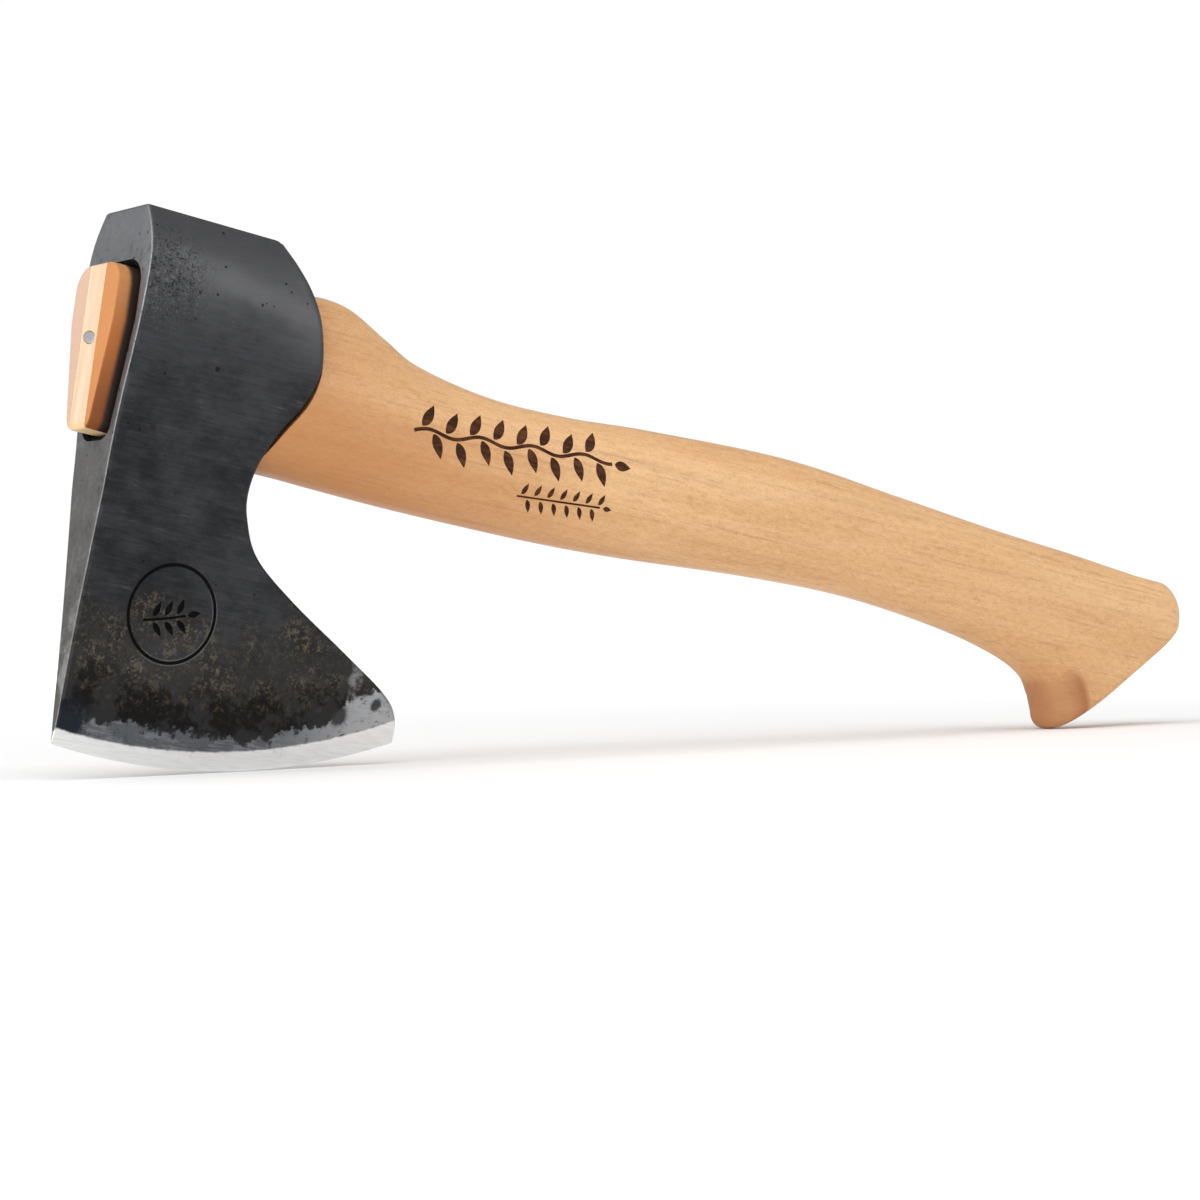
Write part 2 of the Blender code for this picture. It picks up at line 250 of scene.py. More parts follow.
white_surround()
sweep()
high_light((math.radians(27), 0, math.radians(-60)), math.radians(60), 1.4)
soft_box("right_box", (0.55, -1.15, 0.50), (-0.10, 0, 0.08), (0.9, 0.6), 3)
soft_box("left_box", (-1.25, -0.10, 0.45), (-0.15, 0, 0.08), (0.8, 0.8), 9)


# ---------------------------------------------------------------------------------------------------
# Head. Forged carbon steel, left dark from the forge and lightly brushed on its cheeks, with the
# front ground flat, the edge ground bright and a maker's ring punched into the near cheek. The eye
# is drifted through from the front face to the rear, and its mouth is rounded.

# Each station runs from the front face to the rear outline and gives
# (front z, rear x, rear z, front half thickness, rear half thickness, sag below a straight line).
STATIONS = (
    (0.0360, 0.0393, 0.0360, 0.0101, 0.0096, 0.0),
    (0.0315, 0.0437, 0.0305, 0.0129, 0.0121, 0.0),
    (0.0270, 0.0478, 0.0246, 0.0148, 0.0137, 0.0),
    (0.0215, 0.0508, 0.0179, 0.0157, 0.0146, 0.0),
    (0.0140, 0.0528, 0.0098, 0.0153, 0.0143, 0.0),
    (0.0070, 0.0529, 0.0042, 0.0144, 0.0136, 0.0),
    (-0.0010, 0.0507, -0.0029, 0.0129, 0.0124, 0.0),
    (-0.0090, 0.0455, -0.0111, 0.0112, 0.0110, 0.0),
    (-0.0170, 0.0417, -0.0187, 0.0098, 0.0097, 0.0),
    (-0.0250, 0.0402, -0.0266, 0.0088, 0.0086, 0.0),
    (-0.0330, 0.0414, -0.0335, 0.0081, 0.0078, 0.0),
    (-0.0420, 0.0466, -0.0422, 0.0068, 0.0064, 0.0),
    (-0.0520, 0.0595, -0.0510, 0.0054, 0.0049, 0.0004),
    (-0.0640, 0.0780, -0.0613, 0.0038, 0.0035, 0.0016),
    (-0.0770, 0.0915, -0.0692, 0.0024, 0.0023, 0.0038),
    (-0.0885, 0.0959, -0.0750, 0.0013, 0.0013, 0.0058),
    (-0.0946, 0.0961, -0.0810, 0.0001, 0.0001, 0.0070),
)
STATION_STEPS = 9
SHOULDER_STATIONS = 11  # as many, from the poll down, face the handle's shoulder
CHEEK_STEPS = 56
CROWN_ROUND = 0.0006
POLL_ROUND = 0.0006
REAR_ROUND = 0.0024
FLAT_STEPS = 3
ROUND_STEPS = 8
GRIND_SLOPE = 0.23  # half thickness gained for each unit of height above the edge
FORGE_RIPPLE = 0.00007
MERGE = 0.000004
SHARP = math.radians(32)
CAP_SPREAD = 0.05  # slants the cap's middle line, so that its faces are no slivers

TONGUE_TOP = 0.0210
TONGUE_BOTTOM = -0.0198
TONGUE_HALF_WIDE = 0.0104
TONGUE_HALF_NARROW = 0.0060
TONGUE_WAIST = 0.0070
TONGUE_TOP_ROUND = 0.0058
TONGUE_BOTTOM_ROUND = 0.0038
TONGUE_ROOT = 0.0620
EYE_GAP = 0.00025
MOUTH_ROUND = 0.0019
LEAD = 0.0100  # how far a cutter starts in front of what it cuts

POLL_FACE_MIDDLE = 0.0196  # its distance behind the front face

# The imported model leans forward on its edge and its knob. The flat face on the poll says how far.
poll_face = next(m for m in frame["record"]["mounts"] if m["name"] == "poll_face")
lean = math.atan2(poll_face["axis"][0], poll_face["axis"][2])
stance = (
    Matrix.Translation(poll_face["pos_m"])
    @ Matrix.Rotation(lean, 4, "Y")
    @ Matrix.Translation((-POLL_FACE_MIDDLE, 0, -STATIONS[0][0]))
)


def curve_through(rows, steps):
    """Catmull-Rom interpolation of rows of numbers, with `steps` rows for each stretch."""
    rows = np.array(rows)
    padded = np.vstack([2 * rows[0] - rows[1], rows, 2 * rows[-1] - rows[-2]])
    found = []
    for a, b, c, d in zip(padded, padded[1:], padded[2:], padded[3:]):
        for t in np.arange(steps) / steps:
            cubic = 2 * b + (c - a) * t
            cubic = cubic + (2 * a - 5 * b + 4 * c - d) * t**2
            cubic = cubic + (3 * b - a - 3 * c + d) * t**3
            found.append(cubic / 2)
    found.append(rows[-1])
    return np.array(found)


def quarter(steps):
    """Angles from 0 to a right angle."""
    return np.linspace(0, math.pi / 2, steps + 1)


def grid_mesh(name, rows):
    """Quads over rows of points on the -Y side, joined to their mirror image with the faces out."""
    shape = bmesh.new()
    for side in (1, -1):
        points = [[shape.verts.new((x, y * side, z)) for x, y, z in row] for row in rows]
        for upper, lower in zip(points, points[1:]):
            for i in range(len(upper) - 1):
                shape.faces.new((upper[i], lower[i], lower[i + 1], upper[i + 1]))
    bmesh.ops.remove_doubles(shape, verts=shape.verts, dist=MERGE)
    bmesh.ops.dissolve_degenerate(shape, dist=MERGE / 4, edges=shape.edges)
    bmesh.ops.recalc_face_normals(shape, faces=shape.faces)
    mesh = bpy.data.meshes.new(name)
    shape.to_mesh(mesh)
    shape.free()
    return mesh


def loft_mesh(name, loops):
    """A closed solid through loops with equal numbers of points."""
    shape = bmesh.new()
    rings = [[shape.verts.new(p) for p in loop] for loop in loops]
    for near, far in zip(rings, rings[1:]):
        for i in range(len(near)):
            j = (i + 1) % len(near)
            shape.faces.new((near[i], near[j], far[j], far[i]))
    shape.faces.new(rings[0])
    shape.faces.new(rings[-1])
    bmesh.ops.recalc_face_normals(shape, faces=shape.faces)
    mesh = bpy.data.meshes.new(name)
    shape.to_mesh(mesh)
    shape.free()
    return mesh


def add_object(name, mesh):
    made = bpy.data.objects.new(name, mesh)
    bpy.context.scene.collection.objects.link(made)
    return made


def cut(obj, cutter, operation="DIFFERENCE"):
    boolean = obj.modifiers.new(operation.lower(), "BOOLEAN")
    boolean.operation = operation
    boolean.object = cutter
    boolean.solver = "EXACT"
    boolean.material_mode = "TRANSFER"


def finished(obj, cutters):
    """The object's mesh with its cuts made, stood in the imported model's stance, and the cutters gone."""
    graph = bpy.context.evaluated_depsgraph_get()
    mesh = bpy.data.meshes.new_from_object(obj.evaluated_get(graph))
    obj.modifiers.clear()
    obj.data = mesh
    for cutter in cutters:
        bpy.data.objects.remove(cutter)
    shape = bmesh.new()
    shape.from_mesh(mesh)
    bmesh.ops.remove_doubles(shape, verts=shape.verts, dist=MERGE)
    shape.to_mesh(mesh)
    shape.free()
    mesh.transform(stance)
    mesh.shade_smooth()
    mesh.set_sharp_from_angle(angle=SHARP)
    mesh.name = obj.name
    return obj


def ripple(x, y, z, height, size):
    """A slight unevenness, smooth over about `size`."""
    return height * noise.noise(Vector((x, y, z)) / size)


def edge_height(x):
    """Height of the cutting edge at a place along it."""
    front, rear, sag = STATIONS[-1][0], STATIONS[-1][2], STATIONS[-1][5]
    u = x / STATIONS[-1][1]
    return front + (rear - front) * u - 4 * sag * u * (1 - u)


def head_row(station, inset=0.0, drop=0.0):
    """Points of one station on the -Y side, from the middle of the front to the middle of the rear."""
    front_z, rear_x, rear_z, front_half, rear_half, sag = station
    front_half, rear_half = max(front_half - inset, 0), max(rear_half - inset, 0)
    crown = min(CROWN_ROUND, front_half / 2)
    rear = min(REAR_ROUND, rear_half)
    flat = [(0, (crown - front_half) * i / FLAT_STEPS) for i in range(FLAT_STEPS)]
    for angle in quarter(3)[:-1]:
        flat.append((crown - crown * math.cos(angle), crown - front_half - crown * math.sin(angle)))
    for i in range(CHEEK_STEPS + 1):
        x = crown + (rear_x - rear - crown) * i / CHEEK_STEPS
        half = front_half + (rear_half - front_half) * x / rear_x
        fade = math.sin(math.pi * i / CHEEK_STEPS) * min(1, half / 0.004)
        flat.append((x, -half + fade * ripple(x, 0, front_z, FORGE_RIPPLE, 0.008)))
    for angle in quarter(ROUND_STEPS)[1:]:
        flat.append((rear_x - rear + rear * math.sin(angle), rear - rear_half - rear * math.cos(angle)))
    flat.append((rear_x, 0))
    row = []
    for x, y in flat:
        u = x / rear_x
        z = front_z + (rear_z - front_z) * u - 4 * sag * u * (1 - u)
        most = STATIONS[-1][3] + GRIND_SLOPE * (z - edge_height(x))
        row.append((x + inset * (1 - 2 * u), max(y, -most), z - drop))
    return row


def head_mesh():
    """The stations from the poll, whose arris is rounded, down to the cutting edge."""
    stations = curve_through(STATIONS, STATION_STEPS)
    poll = stations[0]
    rows = [[(x - CAP_SPREAD * y * (1 - x / poll[1]), 0, z) for x, y, z in head_row(poll, POLL_ROUND)]]
    for angle in quarter(4):
        inset, drop = POLL_ROUND * (1 - math.sin(angle)), POLL_ROUND * (1 - math.cos(angle))
        rows.append(head_row(poll, inset, drop))
    rows += [head_row(station) for station in stations[1:]]
    rows.append([(x, 0, z) for x, y, z in rows[-1]])
    return grid_mesh("head", rows)


def tongue_loop(x, grow):
    """The tongue's outline at one place along it: a tall wedge shape with round corners."""
    slant = math.atan2(TONGUE_HALF_WIDE - TONGUE_HALF_NARROW, TONGUE_WAIST - TONGUE_BOTTOM)
    side = []
    y, z = TONGUE_HALF_WIDE - TONGUE_TOP_ROUND, TONGUE_TOP - TONGUE_TOP_ROUND
    for angle in np.linspace(math.pi / 2, 0, 15):
        side.append((y + TONGUE_TOP_ROUND * math.cos(angle), z + TONGUE_TOP_ROUND * math.sin(angle)))
    side.append((TONGUE_HALF_WIDE, TONGUE_WAIST))
    y, z = TONGUE_HALF_NARROW - TONGUE_BOTTOM_ROUND, TONGUE_BOTTOM + TONGUE_BOTTOM_ROUND
    for angle in np.linspace(-slant, -math.pi / 2, 13):
        side.append((y + TONGUE_BOTTOM_ROUND * math.cos(angle), z + TONGUE_BOTTOM_ROUND * math.sin(angle)))
    middle = (TONGUE_TOP + TONGUE_BOTTOM) / 2
    wide, tall = 1 + grow / TONGUE_HALF_WIDE, 1 + 2 * grow / (TONGUE_TOP - TONGUE_BOTTOM)
    side = [(y * wide, middle + (z - middle) * tall) for y, z in side]
    return [(x, y, z) for y, z in side] + [(x, -y, z) for y, z in reversed(side)]


def eye_mesh():
    """What is drifted out of the head: the tongue's shape with a round flare at its mouth."""
    loops = [tongue_loop(-LEAD, EYE_GAP + MOUTH_ROUND)]
    for angle in quarter(6)[1:]:
        flare = MOUTH_ROUND * (1 - math.sin(angle))
        loops.append(tongue_loop(MOUTH_ROUND * (1 - math.cos(angle)), EYE_GAP + flare))
    loops.append(tongue_loop(TONGUE_ROOT + LEAD, EYE_GAP))
    return loft_mesh("eye", loops)


def own_axes(nodes):
    """Position in the hatchet's own axes: X along the handle, Z to the poll, from the front face."""
    place = nodes.add("ShaderNodeTexCoord", output="Object")
    shift, turn, _ = stance.decompose()
    inputs = {"Vector": place, "Location": shift, "Rotation": turn.to_euler()}
    return nodes.add("ShaderNodeMapping", {"vector_type": "TEXTURE"}, inputs)


# (x, height above the edge, radius) of the dark stains: three near the toe and one near the eye
STAINS = (
    (0.0780, 0.0108, 0.0027),
    (0.0885, 0.0118, 0.0019),
    (0.0800, 0.0052, 0.0011),
    (0.0100, 0.0790, 0.0008),
)
RING_CENTRE = (0.0251, -0.0594)
RING_RADIUS = 0.0119


def spot(nodes, own, centre, radius, soft, waver):
    """1 inside a ball round the centre, with an edge as wide as `soft` that wavers."""
    away = nodes.distance(own, centre) + waver
    return nodes.step(away, radius + soft / 2, radius - soft / 2)


def scattered(nodes, own, scale, share, radius):
    """Separate round spots of several sizes. `share` of the cells hold one."""
    cells = {"Vector": own, "Scale": scale}
    away = nodes.add("ShaderNodeTexVoronoi", {}, cells)
    lot = nodes.axis(nodes.add("ShaderNodeTexVoronoi", {}, cells, output="Color"), "X")
    size = nodes.step(lot, 1 - share, 1.0, high=radius)
    return nodes.step(away - size, 0.05, -0.05) * nodes.step(lot, 0.98 - share, 1 - share)


def forged_steel():
    """Dark forge scale with faint brushing and pits, brown patina low on the cheeks, and a bright edge."""
    made, nodes = new_material("forged_steel")
    own = own_axes(nodes)
    x, z = nodes.axis(own, "X"), nodes.axis(own, "Z")
    share = x / STATIONS[-1][1]
    above_edge = z - edge_height(x)

    broad = nodes.cloud(own, 38.0, 3.0) - 0.5
    soft = nodes.cloud(own, 110.0, 4.0) - 0.5
    fine = nodes.cloud(own, 520.0, 5.0, 0.7) - 0.5
    grit = nodes.cloud(own, 1700.0, 3.0, 0.7) - 0.5
    brushing = nodes.streaks(own, (160, 160, 1500), (0, math.radians(5), 0), 4.0, 0.7)
    strokes = nodes.streaks(own, (90, 90, 520), (0, math.radians(-14), 0), 4.0, 0.65)

    # Forge scale
    tone = 0.5 + broad * 1.6 + soft * 0.8 + brushing * 0.8 + strokes * 0.7 + fine * 0.5
    scale = nodes.blend(nodes.step(tone, 0.0, 1.0), (0.016, 0.017, 0.019), (0.050, 0.051, 0.056))
    scratch = nodes.step(brushing + strokes * 0.6 + soft * 0.5, 0.17, 0.30)
    scale = nodes.blend(scratch * 0.30, scale, (0.115, 0.117, 0.122))

    # Painted sheen makes the cheek lighter towards the poll, with a painted highlight band along the roll of
    # the upper cheek and a painted highlight near the rear. Stippled where the front of the crown was
    # hammered
    # Painted sheen: lighter towards the poll
    crown = nodes.step(z + broad * 0.010, 0.006, 0.030)
    scale = nodes.blend(crown * 0.65, scale, (0.140, 0.141, 0.145))
    # Painted highlight: a lighter band along the roll of the upper cheek
    rolled = nodes.step(abs(z + x * 0.18 - 0.0262 + soft * 0.004), 0.0055, 0.0010)
    scale = nodes.blend(rolled * nodes.step(x, 0.004, 0.020) * 0.35, scale, (0.155, 0.156, 0.162))
    # Painted highlight on the cheek near its rear outline
    rear_highlight = spot(nodes, own, (0.0500, -0.0145, 0.0110), 0.006, 0.016, soft * 0.006)
    scale = nodes.blend(rear_highlight * 0.35, scale, (0.15, 0.152, 0.158))
    hammered = spot(nodes, own, (0.0050, -0.0150, 0.0200), 0.011, 0.012, fine * 0.012)
    dents = nodes.step(grit + fine * 0.7, 0.02, 0.16) * hammered
    scale = nodes.blend(dents * 0.7, scale, (0.005, 0.005, 0.006))
    between_dents = nodes.step(grit + fine * 0.7, -0.06, -0.18) * hammered
    scale = nodes.blend(between_dents * 0.5, scale, (0.16, 0.16, 0.165))

    # Pits
    pits = scattered(nodes, own, 300.0, 0.03, 0.20) + scattered(nodes, own, 620.0, 0.035, 0.26)
    scale = nodes.blend(pits * 0.8, scale, (0.006, 0.006, 0.007))

    # Brown and black patina, blotchy at the top and almost solid just above the ground band
    height = above_edge + soft * 0.020 + broad * 0.020
    olive = nodes.step(height + soft * 0.02, 0.041, 0.024)
    blotch = nodes.step(soft + fine * 0.5, -0.04, 0.10)
    speck = nodes.step(fine + grit * 0.8, 0.0, 0.12)
    scale = nodes.blend(olive * 0.30, scale, (0.042, 0.036, 0.027))
    scale = nodes.blend(olive * speck * 0.70, scale, (0.150, 0.122, 0.082))
    scale = nodes.blend(olive * blotch * 0.85, scale, (0.008, 0.007, 0.006))
    black = nodes.step(above_edge + soft * 0.012 + fine * 0.006, 0.0230, 0.0150)
    scale = nodes.blend(black * 0.93, scale, (0.0065, 0.006, 0.006))
    rust = nodes.cloud(nodes.stretched(own, (1, 1, 1), shift=(3, 1, 2)), 640.0, 5.0, 0.75)
    ochre = nodes.step(rust, 0.53, 0.64) * nodes.step(above_edge, 0.010, 0.020) * black
    scale = nodes.blend(ochre * 0.60, scale, (0.120, 0.088, 0.050))

    # Band ground above the edge, with a ragged border, lighter to the toe, and a smear that runs up
    # from it there. A blue-black patch is left at the heel.
    toe = nodes.step(share, 0.70, 0.92)
    ragged = above_edge + soft * 0.009 + fine * 0.009 + broad * 0.004 - toe * 0.0080
    band = nodes.step(ragged, 0.0092, 0.0076)
    narrowed = nodes.stretched(own, (1.6, 1, 1))
    uneven = soft * 0.014 + fine * 0.008
    smear = spot(nodes, narrowed, (0.1290, -0.001, -0.0665), 0.0038, 0.0040, uneven)
    band = nodes.maths("MAXIMUM", band, smear * 0.8)
    ground = nodes.blend(nodes.step(share, 0.55, 0.95), (0.095, 0.102, 0.113), (0.37, 0.38, 0.39))
    ground = nodes.blend(nodes.step(soft + brushing, -0.06, 0.22) * 0.6, ground, (0.25, 0.255, 0.265))
    ground = nodes.blend(nodes.step(fine + grit * 0.5, 0.06, 0.16) * 0.55, ground, (0.045, 0.045, 0.05))
    scale = nodes.blend(band, scale, ground)
    heel = spot(nodes, own, (0.0035, -0.0015, -0.0880), 0.0042, 0.0035, fine * 0.010 + soft * 0.008)
    scale = nodes.blend(heel * 0.93, scale, (0.010, 0.013, 0.019))
    for stain_x, stain_z, radius in STAINS:
        away_x, away_z = x - stain_x, above_edge - stain_z
        away = nodes.maths("SQRT", away_x * away_x + away_z * away_z) + (fine + soft) * radius
        stain = nodes.step(away, radius * 1.15, radius * 0.6)
        scale = nodes.blend(stain * 0.9, scale, (0.022, 0.021, 0.020))

    # Polished bevel
    bevel = nodes.step(above_edge + fine * 0.0010 - share * 0.0022, 0.0041, 0.0034)
    polish = nodes.blend(nodes.step(brushing, -0.15, 0.30), (0.80, 0.80, 0.795), (0.66, 0.66, 0.665))
    polish = nodes.blend(nodes.step(soft + fine, 0.16, 0.30) * 0.4, polish, (0.45, 0.46, 0.48))
    colour = nodes.blend(bevel, scale, polish)

    # The ground front face, with painted sheen that makes it paler towards the poll, and the worn line round
    # it
    front = nodes.step(x, 0.0003, 0.00005)
    # Painted sheen: paler towards the poll
    face = nodes.blend(nodes.step(z, -0.060, 0.034), (0.150, 0.145, 0.136), (0.215, 0.220, 0.232))
    face = nodes.blend(nodes.step(fine + soft, 0.02, 0.22) * 0.35, face, (0.30, 0.30, 0.31))
    face = nodes.blend(nodes.step(fine + soft, -0.06, -0.22) * 0.35, face, (0.045, 0.044, 0.043))
    face = nodes.blend(pits * 0.7, face, (0.03, 0.03, 0.032))
    face = nodes.blend(nodes.step(above_edge, 0.0035, 0.0028), face, polish)
    colour = nodes.blend(front, colour, face)
    rim = nodes.step(abs(x - 0.0006), 0.0005, 0.0001)
    colour = nodes.blend(rim * nodes.step(soft, -0.10, 0.10) * 0.08, colour, (0.30, 0.305, 0.32))

    # Painted highlight on the lip of the punched ring, on its rear and lower side, on the near cheek
    round_x, round_z = x - RING_CENTRE[0], z - RING_CENTRE[1]
    off_ring = nodes.maths("SQRT", round_x * round_x + round_z * round_z) - RING_RADIUS
    lip = nodes.step(abs(abs(off_ring) - 0.0005), 0.00035, 0.0001)
    # The painted highlight falls only on the ring's rear and lower side
    lit_side = nodes.step(round_x - round_z + soft * 0.03, 0.0, 0.012)
    near_side = nodes.step(nodes.axis(own, "Y"), 0, -0.001)
    colour = nodes.blend(lip * lit_side * near_side * 0.5, colour, (0.14, 0.14, 0.145))

    dull = olive * blotch * (1 - band)
    nodes.surface("Base Color", colour)
    nodes.surface("Metallic", 0.90 - dull * 0.5)
    rough = 0.47 + grit * 0.2 + brushing * 0.12 + dull * 0.1 - bevel * 0.2 - band * 0.05
    nodes.surface("Roughness", rough)
    relief = brushing * 0.4 + strokes * 0.4 + fine * 0.8 + grit * 0.3 - pits * 1.5 - dents * 0.8 + dull * 0.3
    nodes.surface("Normal", nodes.bump(relief * (1 - bevel), 0.5, 0.00012))
    return made


PUNCH_DEPTH = 0.00034
PUNCH_HALF = 0.00042
MARK_STEPS = 12
LEAF_STEPS = 16
LEAF_SLANT = math.radians(50)


def turned(points, base, angle):
    """Points of a flat figure, turned and set down at its base."""
    across, up = math.cos(angle), math.sin(angle)
    return [(base[0] + u * across - v * up, base[1] + u * up + v * across) for u, v in points]


def leaf_stroke(base, angle, length, belly, bend):
    """One leaf: a stroke that swells, narrows to a point and bends."""
    places = np.linspace(0, 1, LEAF_STEPS)
    line = [(length * t, bend * length * t * t) for t in places]
    halves = [max(belly * math.sin(math.pi * t ** 0.8) ** 0.9, 0.00008) for t in places]
    return turned(line, base, angle), halves, False


def punched_strokes():
    """A ring round a plain sprig: a bent stem, three pairs of leaves and one at its tip."""
    around = np.arange(120) * math.tau / 120
    cx, cz = RING_CENTRE
    ring = [(cx + RING_RADIUS * math.cos(a), cz + RING_RADIUS * math.sin(a)) for a in around]
    strokes = [(ring, [PUNCH_HALF] * len(ring), True)]
    foot, turn, bend = (cx - 0.0074, cz - 0.0026), math.radians(10), 6.0
    stem = [(u, bend * u * u) for u in np.linspace(0, 0.0115, 40)]
    strokes.append((turned(stem, foot, turn), [0.00030] * len(stem), False))
    for u in (0.0022, 0.0055, 0.0088):
        slope = math.atan(2 * bend * u)
        for side in (1, -1):
            base = turned([(u + 0.0004, bend * u * u + side * 0.0008)], foot, turn)[0]
            angle = turn + slope + side * LEAF_SLANT
            strokes.append(leaf_stroke(base, angle, 0.0040, 0.00080, side * 0.16))
    end = 0.0121
    tip = turned([(end, bend * end ** 2)], foot, turn)[0]
    strokes.append(leaf_stroke(tip, turn + math.atan(2 * bend * end), 0.0036, 0.00080, 0.0))
    return strokes


def mark_tree():
    """Sweeps flat strokes into solid cutters and lays them on a surface, seen along the Y axis."""
    tree = bpy.data.node_groups.new("laid_marks", "GeometryNodeTree")
    socket = tree.interface.new_socket
    socket("Strokes", in_out="INPUT", socket_type="NodeSocketGeometry")
    socket("Surface", in_out="INPUT", socket_type="NodeSocketObject")
    socket("Depth", in_out="INPUT", socket_type="NodeSocketFloat")
    socket("Material", in_out="INPUT", socket_type="NodeSocketMaterial")
    socket("Cutters", in_out="OUTPUT", socket_type="NodeSocketGeometry")
    nodes = Nodes(tree)
    given = tree.nodes.new("NodeGroupInput")
    strokes, surface, depth, material = (Value(nodes, given.outputs[i]) for i in range(4))
    half = nodes.add("GeometryNodeInputNamedAttribute", {"data_type": "FLOAT"}, {"Name": "half_width"})
    lines = nodes.add("GeometryNodeMeshToCurve", {}, {"Mesh": strokes})
    section = nodes.add("GeometryNodeCurvePrimitiveCircle", {}, {"Resolution": MARK_STEPS, "Radius": 1.0})
    sweep_inputs = {"Curve": lines, "Profile Curve": section, "Fill Caps": True, "Scale": half}
    swept = nodes.add("GeometryNodeCurveToMesh", {}, sweep_inputs)
    place = nodes.add("GeometryNodeInputPosition")
    x, y, z = (nodes.axis(place, axis) for axis in "XYZ")
    before = nodes.add("ShaderNodeCombineXYZ", {}, {"X": x, "Y": -0.1, "Z": z})
    target = nodes.add("GeometryNodeObjectInfo", {}, {"Object": surface}, output="Geometry")
    ray = {"Source Position": before, "Ray Direction": (0, 1, 0), "Ray Length": 0.2}
    ray["Target Geometry"] = target
    found = nodes.add("GeometryNodeRaycast", {}, ray, output="Hit Position")
    bent = depth * nodes.maths("TANH", y / depth)
    laid = nodes.add("ShaderNodeCombineXYZ", {}, {"X": x, "Y": nodes.axis(found, "Y") + bent, "Z": z})
    placed = nodes.add("GeometryNodeSetPosition", {}, {"Geometry": swept, "Position": laid})
    real = nodes.add("GeometryNodeRealizeInstances", {}, {"Geometry": placed})
    coloured = nodes.add("GeometryNodeSetMaterial", {}, {"Geometry": real, "Material": material})
    nodes.feed(tree.nodes.new("NodeGroupOutput").inputs[0], coloured)
    return tree


def laid_marks(name, strokes, surface, material, depth):
    """Cutters for flat strokes on the near side of a piece, each closed in itself."""
    mesh = bpy.data.meshes.new(name)
    points, edges, halves = [], [], []
    for line, widths, closed in strokes:
        first = len(points)
        points += [(x, 0, z) for x, z in line]
        halves += widths
        edges += [(first + i, first + i + 1) for i in range(len(line) - 1)]
        if closed:
            edges.append((len(points) - 1, first))
    mesh.from_pydata(points, edges, [])
    mesh.attributes.new("half_width", "FLOAT", "POINT").data.foreach_set("value", halves)
    marks = add_object(name, mesh)
    laying = marks.modifiers.new("laying", "NODES")
    laying.node_group = mark_tree()
    values = {"Surface": surface, "Depth": depth, "Material": material}
    for item in laying.node_group.interface.items_tree:
        if item.name in values:
            laying[item.identifier] = values[item.name]
    made = bpy.data.meshes.new_from_object(marks.evaluated_get(bpy.context.evaluated_depsgraph_get()))
    marks.modifiers.clear()
    marks.data = made
    return marks


def punched_steel():
    """Near-black painted shade: the floor of a punched line and the inside of the eye."""
    made, nodes = new_material("punched_steel")
    own = own_axes(nodes)
    fine = nodes.cloud(own, 900.0, 4.0, 0.7)
    # Near-black colour painted as shade
    colour = nodes.blend(nodes.step(fine, 0.35, 0.7), (0.001, 0.001, 0.001), (0.006, 0.006, 0.006))
    nodes.surface("Base Color", colour)
    nodes.surface("Roughness", 0.7 + fine * 0.25)
    nodes.surface("Specular IOR Level", 0.08)
    nodes.surface("Normal", nodes.bump(fine, 0.4, 0.00006))
    return made


head = add_object("forged_head", head_mesh())
head.data.materials.append(forged_steel())
punched = laid_marks("punched_leaf", punched_strokes(), head, punched_steel(), PUNCH_DEPTH)
eye = add_object("eye", eye_mesh())
# The inside of the eye takes the same near-black painted shade
eye.data.materials.append(punched.data.materials[0])
cut(head, eye)
cut(head, punched)
finished(head, [eye, punched])
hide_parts("head")
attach(head, "root")


# ---------------------------------------------------------------------------------------------------
# Handle. One piece of beech, shaped and oiled. Its shoulder bears on the rear of the head, its tongue
# fills the eye and stands a little out of the front, and a kerf sawn up its middle takes the wedge.
# The end of the grip is cut off at a slant behind a hooked knob.

# (top x, top z, bottom x, bottom z, half width, squareness of the upper half, of the lower half)
PAIRS = (
    (0.0380, 0.0240, 0.0330, -0.0206, 0.0120, 2.5, 2.5),
    (0.0515, 0.0264, 0.0500, -0.0206, 0.0121, 2.5, 2.5),
    (0.0630, 0.0260, 0.0630, -0.0211, 0.0120, 2.5, 2.5),
    (0.0750, 0.0209, 0.0760, -0.0216, 0.0117, 2.4, 2.4),
    (0.0870, 0.0159, 0.0890, -0.0219, 0.0115, 2.4, 2.4),
    (0.1110, 0.0125, 0.1120, -0.0221, 0.0114, 2.4, 2.4),
    (0.1370, 0.0127, 0.1370, -0.0220, 0.0115, 2.4, 2.4),
    (0.1650, 0.0148, 0.1640, -0.0210, 0.0116, 2.4, 2.4),
    (0.2150, 0.0169, 0.2100, -0.0182, 0.0117, 2.4, 2.4),
    (0.2600, 0.0145, 0.2470, -0.0175, 0.0114, 2.4, 2.4),
    (0.3000, 0.0121, 0.2840, -0.0202, 0.0110, 2.5, 2.4),
    (0.3300, 0.0108, 0.3100, -0.0246, 0.0107, 2.9, 2.4),
    (0.3500, 0.0095, 0.3230, -0.0294, 0.0105, 3.6, 2.4),
    (0.3620, 0.0087, 0.3283, -0.0355, 0.0104, 4.2, 2.5),
)
PAIR_STEPS = 12
FLANK_STEPS = 56
NOSE_CENTRE = (0.3720, -0.0011)
NOSE_RADIUS = 0.0098
TIP_CENTRE = (0.3340, -0.0395)
TIP_RADIUS = 0.0040
BUTT_SQUARENESS = 6.0
TIP_SQUARENESS = 2.8
BUTT_HALF_WIDTH = 0.0103
BUTT_ROUND = 0.0022
BUTT_STEPS = 30
TONGUE_PROUD = 0.0052
TONGUE_CHAMFER = 0.0007
KERF_GAP = 0.00005
WEDGE_WIDTH = 0.0078
WEDGE_TIP_WIDTH = 0.0016
WEDGE_DEPTH = 0.0360
WEDGE_REACH = 0.0350


